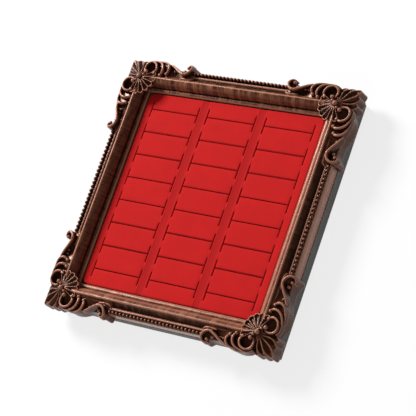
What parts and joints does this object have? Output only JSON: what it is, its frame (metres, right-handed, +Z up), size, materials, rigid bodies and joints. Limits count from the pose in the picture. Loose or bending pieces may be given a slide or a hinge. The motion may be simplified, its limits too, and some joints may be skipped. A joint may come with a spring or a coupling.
{
  "type": "jewelry display tray",
  "caption": "Square counter tray: carved antique-style frame moulding with corner ornaments on a plain plinth, and a lift-out red padded insert with H-shaped ring slits.",
  "frame": {"origin": "centre of the underside, on the surface the tray stands on", "axes": "+Z up, +Y to the back, +X to the right; the ring slits run along X"},
  "size_m": [0.245, 0.245, 0.0332],
  "materials": {
    "carved_wood": "dark walnut brown with rubbed copper-tan high points",
    "plinth_paint": "flat grey paint",
    "board": "plain fibreboard",
    "flannel": "short-napped flannel",
    "steel": "plain zinc-plated",
    "foam": "soft open-cell foam",
    "red_suede": "short-napped microfibre suede"
  },
  "bodies": {
    "tray": {"rail_front": "carved_wood", "rail_right": "carved_wood", "rail_back": "carved_wood", "rail_left": "carved_wood", "plinth_front": "plinth_paint", "plinth_right": "plinth_paint", "plinth_back": "plinth_paint", "plinth_left": "plinth_paint", "bead_strip_front": "carved_wood", "bead_strip_right": "carved_wood", "bead_strip_back": "carved_wood", "bead_strip_left": "carved_wood", "ornament_back_right": "carved_wood", "ornament_back_left": "carved_wood", "ornament_front_left": "carved_wood", "ornament_front_right": "carved_wood", "floor_board": "board", "base_flannel": "flannel", "base_screws": "steel", "mitre_nails": "steel"},
    "insert": {"insert_board": "board", "insert_foam": "foam", "insert_cover": "red_suede"}
  },
  "joints": [
    {"name": "insert_lift", "type": "slide", "parent": "tray", "child": "insert", "axis": [0, 0, 1], "range_m": [0, 0.05]}
  ]
}
